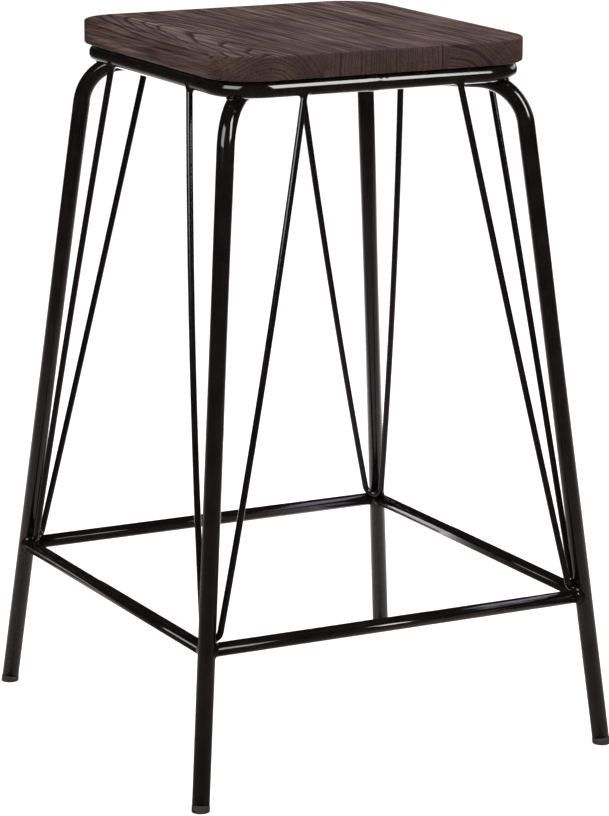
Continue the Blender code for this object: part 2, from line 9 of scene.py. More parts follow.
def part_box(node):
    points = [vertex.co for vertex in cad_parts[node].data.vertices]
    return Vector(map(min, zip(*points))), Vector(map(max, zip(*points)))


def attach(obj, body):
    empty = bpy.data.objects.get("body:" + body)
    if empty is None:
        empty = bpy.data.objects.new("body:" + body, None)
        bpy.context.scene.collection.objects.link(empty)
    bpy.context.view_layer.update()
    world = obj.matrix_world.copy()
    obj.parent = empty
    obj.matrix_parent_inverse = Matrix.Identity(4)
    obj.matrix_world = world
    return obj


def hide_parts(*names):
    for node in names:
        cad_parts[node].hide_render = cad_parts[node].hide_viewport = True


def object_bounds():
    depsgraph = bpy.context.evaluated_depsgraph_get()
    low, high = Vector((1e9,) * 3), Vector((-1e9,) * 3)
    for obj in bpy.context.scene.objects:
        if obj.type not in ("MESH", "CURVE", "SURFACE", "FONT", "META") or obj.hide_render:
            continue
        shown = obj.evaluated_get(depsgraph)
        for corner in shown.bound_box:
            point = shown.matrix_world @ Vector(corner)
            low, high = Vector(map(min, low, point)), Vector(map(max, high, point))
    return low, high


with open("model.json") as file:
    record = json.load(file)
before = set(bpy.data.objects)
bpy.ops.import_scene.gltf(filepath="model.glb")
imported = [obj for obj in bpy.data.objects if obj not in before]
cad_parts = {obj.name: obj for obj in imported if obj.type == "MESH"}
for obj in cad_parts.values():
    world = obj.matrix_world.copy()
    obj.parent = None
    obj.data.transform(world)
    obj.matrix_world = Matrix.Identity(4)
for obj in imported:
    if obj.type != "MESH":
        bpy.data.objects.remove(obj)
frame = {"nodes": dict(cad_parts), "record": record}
cad_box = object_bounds()


# ------------------------------------------------------------------------------------------------
# The four legs. Each is one length of 16 mm steel tube, bent once near its top, so that a level arm
# runs in under the seat. The four arms are mitred and welded together under the seat's middle.
# Everything welded to them is sprayed with the same gloss black enamel and stoved.

UP = Vector((0, 0, 1))
CORNERS = {"front_left": (-1, -1), "front_right": (1, -1), "back_left": (-1, 1), "back_right": (1, 1)}
SIDES = {"front": (0, -1), "back": (0, 1), "left": (-1, 0), "right": (1, 0)}
LEG_RADIUS = 0.008
LEG_WALL = 0.0015
LEG_BEND_RADIUS = 0.046
LEG_ARM = 0.17042
LEG_END_RISE = LEG_RADIUS * 0.14  # The lower end is cut square, so its middle is above its lowest point.
TUBE_SIDES = 48
BEND_STEPS = 24

leg_low, leg_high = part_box("leg_front_left")
foot_x, foot_y = [abs(value) for value in frame["record"]["mounts"][0]["pos_m"][:2]]
arm_level = leg_high.z - LEG_RADIUS


def add(material, kind, inputs=(), **settings):
    """Adds one shader node. An input is a number, a colour or another node's output."""
    node = material.node_tree.nodes.new(kind)
    for name, value in settings.items():
        setattr(node, name, value)
    for name, value in dict(inputs).items():
        if isinstance(value, bpy.types.NodeSocket):
            material.node_tree.links.new(value, node.inputs[name])
        else:
            node.inputs[name].default_value = value
    return node


def set_stops(ramp_node, stops):
    """Sets a colour ramp's stops from (place, colour) pairs."""
    ramp = ramp_node.color_ramp
    while len(ramp.elements) < len(stops):
        ramp.elements.new(1)
    for element, (place, colour) in zip(ramp.elements, stops):
        element.position = place
        element.color = (*colour, 1)


def new_finish(name):
    """A new material and its shader, with the piece's own coordinates to lay patterns on."""
    material = bpy.data.materials.new(name)
    material.use_nodes = True
    shader = material.node_tree.nodes["Principled BSDF"]
    place = add(material, "ShaderNodeTexCoord").outputs["Object"]
    return material, shader, place


def make_enamel():
    """Gloss black enamel: nearly flat, with a fine orange peel and a little dust in its gloss."""
    material, shader, place = new_finish("black_enamel")
    peel = add(material, "ShaderNodeTexNoise", {"Vector": place, "Scale": 420, "Detail": 2})
    sag = add(material, "ShaderNodeTexNoise", {"Vector": place, "Scale": 45, "Detail": 2})
    tone = add(material, "ShaderNodeValToRGB", {"Fac": sag.outputs["Fac"]})
    set_stops(tone, [(0.3, (0.0022, 0.0016, 0.0017)), (0.7, (0.0045, 0.0034, 0.0034))])
    haze = add(material, "ShaderNodeMapRange", {
        "Value": peel.outputs["Fac"], "From Min": 0.3, "From Max": 0.7, "To Min": 0.07, "To Max": 0.13,
    })
    height = add(material, "ShaderNodeMath", {
        0: sag.outputs["Fac"], 1: 2.5, 2: peel.outputs["Fac"],
    }, operation="MULTIPLY_ADD")
    bump = add(material, "ShaderNodeBump", {
        "Height": height.outputs["Value"], "Strength": 0.25, "Distance": 0.00008,
    })
    links = material.node_tree.links
    links.new(tone.outputs["Color"], shader.inputs["Base Color"])
    links.new(haze.outputs["Result"], shader.inputs["Roughness"])
    links.new(bump.outputs["Normal"], shader.inputs["Normal"])
    return material


black_enamel = make_enamel()


def add_piece(name, bm, material, nodes=(), smooth_angle=40):
    """Turns a bmesh into a finished piece that rides with the stool and stands for its CAD nodes."""
    mesh = bpy.data.meshes.new(name)
    bm.to_mesh(mesh)
    bm.free()
    mesh.shade_smooth()
    mesh.set_sharp_from_angle(angle=math.radians(smooth_angle))
    mesh.materials.append(material)
    piece = bpy.data.objects.new(name, mesh)
    bpy.context.scene.collection.objects.link(piece)
    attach(piece, "root")
    if nodes:
        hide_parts(*nodes)
    return piece


def give_wall(piece, thickness):
    """Gives a tube its wall, inwards from its outside."""
    wall = piece.modifiers.new("wall", "SOLIDIFY")
    wall.thickness = thickness
    wall.offset = -1
    wall.use_even_offset = True


def only(kind, geometry):
    """The verts, edges or faces out of what a bmesh operator gives back."""
    return [item for item in geometry if isinstance(item, kind)]


def start_loop(bm, radius, sides, start, direction):
    """A circle of edges square across a tube's run, from which the tube is drawn."""
    level = math.hypot(direction.x, direction.y) > abs(direction.z)
    across = direction.cross(UP if level else Vector((0, 1, 0))).normalized()
    top = across.cross(direction).normalized()
    turn = Matrix((top, direction.normalized().cross(top), direction.normalized())).transposed()
    place = Matrix.Translation(start) @ turn.to_4x4()
    made = bmesh.ops.create_circle(bm, segments=sides, radius=radius, matrix=place)
    return list({edge for vert in made["verts"] for edge in vert.link_edges})


def run_on(bm, loop, offset):
    """Draws a tube straight on from its last loop, and returns the new last loop."""
    made = bmesh.ops.extrude_edge_only(bm, edges=loop)["geom"]
    moved = only(bmesh.types.BMVert, made)
    bmesh.ops.translate(bm, verts=moved, vec=offset)
    return [edge for edge in only(bmesh.types.BMEdge, made) if all(vert in moved for vert in edge.verts)]


def bend_on(bm, loop, centre, axis, angle, steps):
    """Draws a tube on round a bend from its last loop, and returns the new last loop."""
    made = bmesh.ops.spin(
        bm, geom=loop, cent=centre, axis=axis, dvec=(0, 0, 0), angle=angle, steps=steps, use_duplicate=False
    )
    return only(bmesh.types.BMEdge, made["geom_last"])


def draw_tube(bm, radius, sides, start, direction, moves):
    """Draws a tube along straight runs and bends, and returns its first and last loop."""
    first = last = start_loop(bm, radius, sides, start, direction)
    for move in moves:
        last = run_on(bm, last, move[1]) if move[0] == "run" else bend_on(bm, last, *move[1:])
    return first, last


def fit_end(loop, fit):
    """Cuts a tube's end to shape: fit moves each of its points along the tube."""
    for vert in {vert for edge in loop for vert in edge.verts}:
        vert.co = fit(vert.co)


def leg_line(corner):
    """Where a leg meets the floor, where its bend starts and ends, the bend's middle, and its turn."""
    foot = Vector((corner[0] * foot_x, corner[1] * foot_y, 0))
    out = Vector((*corner, 0)).normalized()
    bend_end = out * LEG_ARM + UP * arm_level
    axis = (foot - bend_end).cross(out).normalized()
    down = out.cross(axis)
    if down.z > 0:
        down = -down
    middle = bend_end + down * LEG_BEND_RADIUS
    to_foot = foot - middle
    turn = math.atan2(to_foot.dot(out), to_foot.dot(-down)) - math.acos(LEG_BEND_RADIUS / to_foot.length)
    bend_start = middle + (out * math.sin(turn) - down * math.cos(turn)) * LEG_BEND_RADIUS
    return foot, bend_start, bend_end, middle, turn


def leg_point(corner, height):
    """The point on a leg's straight run at a height above the floor, and the direction up the leg."""
    foot, bend_start = leg_line(corner)[:2]
    up_leg = (bend_start - foot).normalized()
    return foot + up_leg * (height / up_leg.z), up_leg


for corner_name, corner in CORNERS.items():
    bend_start, bend_end, middle, turn = leg_line(corner)[1:]
    start, up_leg = leg_point(corner, leg_low.z + LEG_END_RISE)
    bend_axis = (bend_start - middle).cross(bend_end - middle).normalized()
    inwards = -Vector((*corner, 0)).normalized()
    across = inwards.cross(UP)
    bm = bmesh.new()
    ends = draw_tube(bm, LEG_RADIUS, TUBE_SIDES, start, up_leg, [
        ("run", bend_start - start),
        ("bend", middle, bend_axis, turn, BEND_STEPS),
        ("run", UP * arm_level - bend_end),
    ])
    fit_end(ends[1], lambda point: point - inwards * abs(point.dot(across)))
    bmesh.ops.recalc_face_normals(bm, faces=bm.faces)
    node = "leg_" + corner_name
    give_wall(add_piece(node + "_tube", bm, black_enamel, [node]), LEG_WALL)


# ------------------------------------------------------------------------------------------------
# The seat ring. The same 16 mm tube is bent to a rounded square and butt welded in the middle of its
# front side, where the weld is dressed but still swells a little. It rests on the bends of the legs.

RING_CORNER_RADIUS = 0.040
RING_BEND_STEPS = 20
BUTT_WELD_LENGTH = 0.026
BUTT_WELD_SWELL = 0.0005
BUTT_WELD_MIDDLE = -0.007
BUTT_WELD_STEPS = 26
BUTT_WELD_LUMPS = 190
LEAST_LUMP = 0.7
LUMP_REACH = 0.6
MERGE_DISTANCE = 0.00002

ring_low, ring_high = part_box("seat_ring")
ring_radius = (ring_high.z - ring_low.z) / 2
ring_level = (ring_high.z + ring_low.z) / 2
ring_x = ring_high.x - ring_radius
ring_y = ring_high.y - ring_radius


def swell_butt_weld(verts):
    """Raises the tube round its butt weld into a low, slightly lumpy swelling."""
    for vert in verts:
        share = (vert.co.x - BUTT_WELD_MIDDLE) / BUTT_WELD_LENGTH + 0.5
        if 0 < share < 1 and vert.co.y < -ring_y / 2:
            centre = Vector((vert.co.x, -ring_y, ring_level))
            lump = LEAST_LUMP + LUMP_REACH * noise.noise(vert.co * BUTT_WELD_LUMPS)
            rise = BUTT_WELD_SWELL * math.sin(math.pi * share) ** 2 * lump
            vert.co += (vert.co - centre).normalized() * rise


bm = bmesh.new()
along = Vector((1, 0, 0))
start = place = Vector((RING_CORNER_RADIUS - ring_x, -ring_y, ring_level))
weld_start = BUTT_WELD_MIDDLE - BUTT_WELD_LENGTH / 2
moves = [("run", along * (weld_start - start.x))]
moves += [("run", along * (BUTT_WELD_LENGTH / BUTT_WELD_STEPS))] * BUTT_WELD_STEPS
moves.append(("run", along * (ring_x - RING_CORNER_RADIUS - weld_start - BUTT_WELD_LENGTH)))
for half in (ring_x, ring_y, ring_x, ring_y):
    straight = along * 2 * (half - RING_CORNER_RADIUS)
    centre = place + straight + UP.cross(along) * RING_CORNER_RADIUS
    if along.x < 0.5:
        # The front side is there already, drawn in short steps round its weld.
        moves.append(("run", straight))
    moves.append(("bend", centre, UP, math.pi / 2, RING_BEND_STEPS))
    place = centre + along * RING_CORNER_RADIUS
    along = UP.cross(along)
draw_tube(bm, ring_radius, TUBE_SIDES, start, along, moves)
bmesh.ops.remove_doubles(bm, verts=bm.verts, dist=MERGE_DISTANCE)
swell_butt_weld(bm.verts)
bmesh.ops.recalc_face_normals(bm, faces=bm.faces)
add_piece("seat_ring_tube", bm, black_enamel, ["seat_ring"])


# ------------------------------------------------------------------------------------------------
# The footrest. Four straight rails of 12.7 mm tube run between the legs, all at one level. Their ends
# are coped to fit round the legs, mitred against each other on the inside, and welded.

RAIL_WALL = 0.0012
SEAM = 0.0001

rail_low, rail_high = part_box("rail_front")
rail_radius = (rail_high.z - rail_low.z) / 2
rail_level = (rail_high.z + rail_low.z) / 2
RAILS = {
    "rail_front": ("front_left", "front_right"),
    "rail_back": ("back_left", "back_right"),
    "rail_left": ("front_left", "back_left"),
    "rail_right": ("front_right", "back_right"),
}


def clear_of_tube(point, direction, tube_point, tube_direction, distance):
    """Slides a point that is inside a round tube along direction until it is distance from its axis."""
    axis = tube_direction.normalized()
    offset = point - tube_point
    offset = offset - axis * offset.dot(axis)
    step = direction - axis * direction.dot(axis)
    half = offset.dot(step)
    inside = offset.length_squared - distance**2
    slide = -half + math.sqrt(half**2 - step.length_squared * inside)
    return point + direction * (slide / step.length_squared)


def cope(corner, inwards):
    """Fits a rail's end round its leg, and mitres it against the next rail."""
    middle, up_leg = leg_point(corner, rail_level)
    beside = -Vector((*corner, 0))
    beside = (beside - inwards * beside.dot(inwards)).normalized()

    def fit(point):
        point = clear_of_tube(point, inwards, middle, up_leg, LEG_RADIUS - SEAM)
        offset = point - middle
        return point + inwards * max(offset.dot(beside) - offset.dot(inwards), 0)

    return fit


for name, (from_name, to_name) in RAILS.items():
    start = leg_point(CORNERS[from_name], rail_level)[0]
    end = leg_point(CORNERS[to_name], rail_level)[0]
    along = (end - start).normalized()
    bm = bmesh.new()
    first, last = draw_tube(bm, rail_radius, TUBE_SIDES, start, along, [("run", end - start)])
    fit_end(first, cope(CORNERS[from_name], along))
    fit_end(last, cope(CORNERS[to_name], -along))
    bmesh.ops.recalc_face_normals(bm, faces=bm.faces)
    give_wall(add_piece(name + "_tube", bm, black_enamel, [name]), RAIL_WALL)


# ------------------------------------------------------------------------------------------------
# The braces. A 6 mm rod for each leg hangs from one side of the ring, turns tightly against the leg
# just above the rails, and goes up to the next side. Its two arms bow outwards by a few millimetres.

ROD_RADIUS = 0.003
ROD_SIDES = 32
ROD_BEND_RADIUS = 0.0085
ROD_ARM_RADIUS = 9.4
ROD_BEND_STEPS = 20
ROD_ARM_STEPS = 12
ROD_TOP_FRONT = 0.0775
ROD_TOP_SIDE = 0.081
ROD_OUTSET = 0.004

rod_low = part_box("brace_front_left")[0].z


def brace_line(corner):
    """A brace's two tops, its lowest point, and the middles, turns and axis of its three bends."""
    middle, up_leg = leg_point(corner, rod_low + ROD_RADIUS)
    inwards = -Vector((*corner, 0)).normalized()
    bottom = middle + inwards * ((LEG_RADIUS + ROD_RADIUS) / up_leg.z)
    tops = [
        Vector((corner[0] * (ring_x + ROD_OUTSET), corner[1] * ROD_TOP_SIDE, ring_level)),
        Vector((corner[0] * ROD_TOP_FRONT, corner[1] * (ring_y + ROD_OUTSET), ring_level)),
    ]
    across = (tops[1] - tops[0]).normalized()
    rise = (tops[0] - bottom) - across * (tops[0] - bottom).dot(across)
    rise.normalize()
    tight = bottom + rise * ROD_BEND_RADIUS
    extra = ROD_ARM_RADIUS - ROD_BEND_RADIUS
    arms = []
    for top, outwards in zip(tops, (-across, across)):
        to_top = top - tight
        share = (to_top.length_squared + extra**2 - ROD_ARM_RADIUS**2) / (2 * extra)
        turn = math.acos(share / to_top.length) - math.atan2(to_top.dot(outwards), to_top.dot(rise))
        middle = tight + (rise * math.cos(turn) - outwards * math.sin(turn)) * extra
        bend_end = tight + (outwards * math.sin(turn) - rise * math.cos(turn)) * ROD_BEND_RADIUS
        arms.append((middle, turn, (top - middle).angle(bend_end - middle)))
    axis = (tops[0] - arms[0][0]).cross(bottom - arms[0][0]).normalized()
    return tops, bottom, tight, arms, axis


def rod_ends(corner):
    """Each end of a brace: its top, the direction down the rod, and the ring's middle and run there."""
    tops, _, _, arms, axis = brace_line(corner)
    down_first = axis.cross(tops[0] - arms[0][0]).normalized()
    down_second = -axis.cross(tops[1] - arms[1][0]).normalized()
    side_point = Vector((corner[0] * ring_x, tops[0].y, ring_level))
    front_point = Vector((tops[1].x, corner[1] * ring_y, ring_level))
    return [
        (tops[0], down_first, side_point, Vector((0, 1, 0))),
        (tops[1], down_second, front_point, Vector((1, 0, 0))),
    ]


def saddle(down, ring_point, ring_run):
    """Fits a rod's end round the ring."""

    def fit(point):
        return clear_of_tube(point, down, ring_point, ring_run, ring_radius - SEAM)

    return fit


for corner_name, corner in CORNERS.items():
    tops, _, tight, arms, axis = brace_line(corner)
    ends = rod_ends(corner)
    bm = bmesh.new()
    loops = draw_tube(bm, ROD_RADIUS, ROD_SIDES, tops[0], ends[0][1], [
        ("bend", arms[0][0], axis, arms[0][2], ROD_ARM_STEPS),
        ("bend", tight, axis, arms[0][1] + arms[1][1], ROD_BEND_STEPS),
        ("bend", arms[1][0], axis, arms[1][2], ROD_ARM_STEPS),
    ])
    for loop, (_, down, ring_point, ring_run) in zip(loops, ends):
        fit_end(loop, saddle(down, ring_point, ring_run))
        bmesh.ops.contextual_create(bm, geom=loop)
    bmesh.ops.recalc_face_normals(bm, faces=bm.faces)
    node = "brace_" + corner_name
    add_piece(node + "_rod", bm, black_enamel, [node])


# ------------------------------------------------------------------------------------------------
# The welds. A fillet bead runs round each rail end and each rod end, a pad of weld ties each leg to
# the ring and each rod to its leg, and a bead closes the mitres where the four arms meet.

RAIL_BEAD = 0.0028
ROD_BEAD = 0.0031
BEAD_ROOT = -SEAM * 3
BEAD_TOE = 1.15
BEAD_STEPS = 6
BEAD_RIPPLES = 2.5
BEAD_UNEVEN = 0.14
BEAD_CHANGE = 40
LEG_PAD = (0.0070, 0.0056, 0.0018)
ROD_PAD = (0.0068, 0.0042, 0.0034)
ROD_PAD_DROP = 0.0005
MITRE_BEAD = 0.0013
MITRE_BEAD_SIDES = 16
MITRE_BEAD_STEPS = 64


def lay_bead(bm, end, down, rod_radius, tube_point, tube_run, tube_radius, size):
    """Lays a hollow fillet of weld round a tube or rod whose end meets the side of another tube."""
    outline = [(BEAD_ROOT, BEAD_ROOT), (BEAD_ROOT, size * BEAD_TOE)]
    for step in range(BEAD_STEPS + 1):
        angle = step / BEAD_STEPS * math.pi / 2
        outline.append((size * (1 - math.cos(angle)), size * (1 - math.sin(angle))))
    outline.append((size * BEAD_TOE, BEAD_ROOT))
    laid = set(bm.verts)
    verts = [bm.verts.new((rod_radius + spread, 0, height)) for spread, height in outline]
    edges = [bm.edges.new(pair) for pair in zip(verts, verts[1:] + verts[:1])]
    bmesh.ops.spin(
        bm, geom=verts + edges, cent=(0, 0, 0), axis=UP, dvec=(0, 0, 0), angle=2 * math.pi,
        steps=TUBE_SIDES, use_merge=True, use_duplicate=False,
    )
    side = down.orthogonal().normalized()
    for vert in bm.verts:
        if vert in laid:
            continue
        angle = math.atan2(vert.co.y, vert.co.x)
        away = side * math.cos(angle) + down.cross(side) * math.sin(angle)
        ripple = Vector((math.cos(angle), math.sin(angle), end.x * BEAD_CHANGE)) * BEAD_RIPPLES
        lump = 1 + BEAD_UNEVEN * noise.noise(ripple)
        spread = (math.hypot(vert.co.x, vert.co.y) - rod_radius) * lump
        level = tube_radius + vert.co.z * lump
        touch = clear_of_tube(end + away * rod_radius, down, tube_point, tube_run, level)
        normal = touch - tube_point
        normal = (normal - tube_run * normal.dot(tube_run)).normalized()
        flat = (away - normal * away.dot(normal)).normalized()
        # The bead's foot is wrapped round the tube that it lies on.
        round_tube = spread * flat.dot(tube_run.cross(normal)) / level
        turned = Matrix.Rotation(round_tube, 3, tube_run) @ normal
        vert.co = touch + tube_run * (spread * flat.dot(tube_run)) + (turned - normal) * level


def lay_pad(bm, centre, directions, radii):
    """A pad of weld: a ball flattened to three half sizes along three directions."""
    turn = Matrix(directions).transposed().to_4x4()
    place = Matrix.Translation(centre) @ turn @ Matrix.Diagonal((*radii, 1))
    bmesh.ops.create_uvsphere(bm, u_segments=32, v_segments=16, radius=1, matrix=place)


bm = bmesh.new()
for name, corner_names in RAILS.items():
    ends = [leg_point(CORNERS[corner_name], rail_level) for corner_name in corner_names]
    along = (ends[1][0] - ends[0][0]).normalized()
    for (middle, up_leg), direction in zip(ends, (along, -along)):
        lay_bead(bm, middle, direction, rail_radius, middle, up_leg, LEG_RADIUS, RAIL_BEAD)
bmesh.ops.recalc_face_normals(bm, faces=bm.faces)
add_piece("rail_welds", bm, black_enamel)

bm = bmesh.new()
for corner in CORNERS.values():
    for top, down, ring_point, ring_run in rod_ends(corner):
        lay_bead(bm, top, down, ROD_RADIUS, ring_point, ring_run, ring_radius, ROD_BEAD)
bmesh.ops.recalc_face_normals(bm, faces=bm.faces)
add_piece("rod_top_welds", bm, black_enamel)

bm = bmesh.new()
for corner in CORNERS.values():
    out = Vector((*corner, 0)).normalized()
    middle = leg_line(corner)[3]
    bend_middle = Vector((ring_x - RING_CORNER_RADIUS, ring_y - RING_CORNER_RADIUS, 0))
    along = abs(out.x) * (bend_middle.x + bend_middle.y)
    reach = along + math.sqrt(along**2 - bend_middle.length_squared + RING_CORNER_RADIUS**2)
    to_ring = (out * reach + UP * ring_level - middle).normalized()
    contact = middle + to_ring * (LEG_BEND_RADIUS + LEG_RADIUS)
    ring_run = out.cross(UP)
    lay_pad(bm, contact, (ring_run, to_ring.cross(ring_run), to_ring), LEG_PAD)
    bottom = brace_line(corner)[1]
    up_leg = leg_point(corner, rail_level)[1]
    sideways = up_leg.cross(out).normalized()
    touch = bottom + out * ROD_RADIUS - up_leg * ROD_PAD_DROP
    lay_pad(bm, touch, (sideways, up_leg, sideways.cross(up_leg)), ROD_PAD)
bmesh.ops.recalc_face_normals(bm, faces=bm.faces)
add_piece("leg_welds", bm, black_enamel)

bm = bmesh.new()
for axis in (Vector((1, 0, 0)), Vector((0, 1, 0))):
    side = axis.cross(UP)
    laid = set(bm.verts)
    loop = start_loop(bm, MITRE_BEAD, MITRE_BEAD_SIDES, side * LEG_RADIUS, UP)
    bend_on(bm, loop, (0, 0, 0), axis, 2 * math.pi, MITRE_BEAD_STEPS)
    verts = [vert for vert in bm.verts if vert not in laid]
    wider = [1 + (math.sqrt(2) - 1) * abs(value) for value in side]
    stretch = Matrix.Translation(UP * arm_level) @ Matrix.Diagonal((*wider, 1))
    bmesh.ops.transform(bm, matrix=stretch, verts=verts)
bmesh.ops.remove_doubles(bm, verts=bm.verts, dist=MERGE_DISTANCE)
bmesh.ops.recalc_face_normals(bm, faces=bm.faces)
add_piece("arm_mitre_weld", bm, black_enamel)


# ------------------------------------------------------------------------------------------------
# The feet. Each is a moulded black plastic plug pushed into the leg's end up to its head, which is a
# little wider than the tube. Its underside is cut level with the floor, and its rim is rounded.

FOOT_LIP = 0.0002
FOOT_HEAD = 0.006
FOOT_ROUND = 0.001
FOOT_ROUND_STEPS = 4
SOLE_ROUND = FOOT_ROUND * 0.7
FOOT_STEM_RADIUS = 0.005
FOOT_STEM_RISE = FOOT_STEM_RADIUS * 0.15

foot_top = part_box("foot_front_left")[1].z


def make_plastic():
    """Moulded black plastic with a fine spark-eroded grain."""
    material, shader, place = new_finish("foot_plastic")
    grain = add(material, "ShaderNodeTexNoise", {"Vector": place, "Scale": 1800, "Detail": 3})
    scuff = add(material, "ShaderNodeTexNoise", {"Vector": place, "Scale": 160, "Detail": 5})
    tone = add(material, "ShaderNodeValToRGB", {"Fac": scuff.outputs["Fac"]})
    set_stops(tone, [(0.35, (0.010, 0.010, 0.011)), (0.75, (0.022, 0.021, 0.020))])
    dull = add(material, "ShaderNodeMapRange", {
        "Value": scuff.outputs["Fac"], "From Min": 0.3, "From Max": 0.7, "To Min": 0.42, "To Max": 0.6,
    })
    bump = add(material, "ShaderNodeBump", {
        "Height": grain.outputs["Fac"], "Strength": 0.4, "Distance": 0.0001,
    })
    links = material.node_tree.links
    links.new(tone.outputs["Color"], shader.inputs["Base Color"])
    links.new(dull.outputs["Result"], shader.inputs["Roughness"])
    links.new(bump.outputs["Normal"], shader.inputs["Normal"])
    return material


def turn_on_lathe(bm, outline, steps=TUBE_SIDES):
    """Spins an outline of (radius, height) points from axis to axis, or back to its start for a bore."""
    verts = [bm.verts.new((radius, 0, height)) for radius, height in outline]
    edges = [bm.edges.new(pair) for pair in zip(verts, verts[1:])]
    if outline[0][0] > 0:
        edges.append(bm.edges.new((verts[-1], verts[0])))
    bmesh.ops.spin(
        bm, geom=verts + edges, cent=(0, 0, 0), axis=UP, dvec=(0, 0, 0), angle=2 * math.pi,
        steps=steps, use_merge=True, use_duplicate=False,
    )
    bmesh.ops.remove_doubles(bm, verts=bm.verts, dist=MERGE_DISTANCE)
    bmesh.ops.recalc_face_normals(bm, faces=bm.faces)


foot_plastic = make_plastic()
for corner_name, corner in CORNERS.items():
    foot, up_leg = leg_point(corner, 0)
    head = LEG_RADIUS + FOOT_LIP
    stem_top = (foot_top - FOOT_STEM_RISE) / up_leg.z
    outline = [(0, -2 * FOOT_HEAD), (head, -2 * FOOT_HEAD)]
    for step in range(FOOT_ROUND_STEPS + 1):
        angle = step / FOOT_ROUND_STEPS * math.pi / 2
        spread = head - FOOT_ROUND * (1 - math.cos(angle))
        outline.append((spread, FOOT_HEAD - FOOT_ROUND * (1 - math.sin(angle))))
    outline += [(FOOT_STEM_RADIUS, FOOT_HEAD), (FOOT_STEM_RADIUS, stem_top), (0, stem_top)]
    bm = bmesh.new()
    turn_on_lathe(bm, outline)
    place = Matrix.Translation(foot) @ UP.rotation_difference(up_leg).to_matrix().to_4x4()
    bmesh.ops.transform(bm, matrix=place, verts=bm.verts)
    made = bmesh.ops.bisect_plane(
        bm, geom=bm.verts[:] + bm.edges[:] + bm.faces[:], plane_co=(0, 0, 0), plane_no=UP, clear_inner=True
    )
    sole = bmesh.ops.contextual_create(bm, geom=only(bmesh.types.BMEdge, made["geom_cut"]))["faces"]
    bmesh.ops.bevel(
        bm, geom=[edge for face in sole for edge in face.edges], offset=SOLE_ROUND, offset_type="OFFSET",
        segments=FOOT_ROUND_STEPS, profile=0.5, affect="EDGES", material=-1,
    )
    bmesh.ops.recalc_face_normals(bm, faces=bm.faces)
    node = "foot_" + corner_name
    add_piece(node + "_plug", bm, foot_plastic, [node])


# ------------------------------------------------------------------------------------------------
# The seat tabs. A 3 mm steel tab is welded flat inside the middle of each side of the ring. It has two
# rounded corners and a hole for its screw, and it is enamelled with the frame.

TAB_CORNER_RADIUS = 0.006
TAB_HOLE_RADIUS = 0.0035
TAB_CORNER_STEPS = 10
TAB_EDGE_ROUND = 0.0004
TAB_EDGE_STEPS = 2
TAB_RIM_ANGLE = math.radians(60)
HOLE_SIDES = 40
TAB_BEAD = (0.0115, 0.0022, 0.0020)

for side_name, side in SIDES.items():
    tab_low, tab_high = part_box("seat_tab_" + side_name)
    washer_low, washer_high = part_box("seat_washer_" + side_name)
    hole_centre = (washer_low + washer_high) / 2
    inwards = -Vector((*side, 0))
    tab_centre = (tab_low + tab_high) / 2
    thickness = tab_high.z - tab_low.z
    bm = bmesh.new()
    plate_size = Matrix.Diagonal(((tab_high.x - tab_low.x) / 2, (tab_high.y - tab_low.y) / 2, 1, 1))
    plate_place = Matrix.Translation((tab_centre.x, tab_centre.y, tab_low.z)) @ plate_size
    bmesh.ops.create_grid(bm, x_segments=1, y_segments=1, size=1, matrix=plate_place)
    free = [vert for vert in bm.verts if (vert.co - tab_centre).dot(inwards) > 0]
    bmesh.ops.bevel(
        bm, geom=free, offset=TAB_CORNER_RADIUS, offset_type="OFFSET", segments=TAB_CORNER_STEPS,
        profile=0.5, affect="VERTICES", material=-1,
    )
    bmesh.ops.delete(bm, geom=bm.faces[:], context="FACES_ONLY")
    hole_place = Matrix.Translation((hole_centre.x, hole_centre.y, tab_low.z))
    bmesh.ops.create_circle(bm, segments=HOLE_SIDES, radius=TAB_HOLE_RADIUS, matrix=hole_place)
    plate = bmesh.ops.bridge_loops(bm, edges=bm.edges[:])["faces"]
    raised = bmesh.ops.extrude_face_region(bm, geom=plate)["geom"]
    bmesh.ops.translate(bm, verts=only(bmesh.types.BMVert, raised), vec=UP * thickness)
    bmesh.ops.recalc_face_normals(bm, faces=bm.faces)
    rims = [edge for edge in bm.edges if edge.calc_face_angle(0) > TAB_RIM_ANGLE]
    flat_rims = [edge for edge in rims if abs(edge.verts[0].co.z - edge.verts[1].co.z) < thickness / 2]
    bmesh.ops.bevel(
        bm, geom=flat_rims, offset=TAB_EDGE_ROUND, offset_type="OFFSET", segments=TAB_EDGE_STEPS,
        profile=0.5, affect="EDGES", material=-1,
    )
    add_piece(f"seat_tab_{side_name}_plate", bm, black_enamel, ["seat_tab_" + side_name])
    bm = bmesh.new()
    across = inwards.cross(UP)
    welded_end = tab_centre - inwards * abs((tab_high - tab_centre).dot(inwards)) - UP * thickness / 2
    lay_pad(bm, welded_end, (across, inwards, across.cross(inwards)), TAB_BEAD)
    bmesh.ops.recalc_face_normals(bm, faces=bm.faces)
    add_piece(f"seat_tab_{side_name}_weld", bm, black_enamel)


# ------------------------------------------------------------------------------------------------
# The screws. A zinc-plated M6 screw with a flat head and a hexagon socket, and a washer under it, hold
# the seat to each tab. Each screw is driven up into a turned brass insert, glued into the seat.

SCREW_HEAD_HEIGHT = 0.0033
SCREW_EDGE_ROUND = 0.0008
SCREW_SHANK_RADIUS = 0.003
SOCKET_FLAT = 0.002
SOCKET_DEPTH = 0.002
SCREW_SIDES = 48
WASHER_ROUND = 0.0003
WASHER_PLAY = 0.0003
TURNED_ANGLE = 30


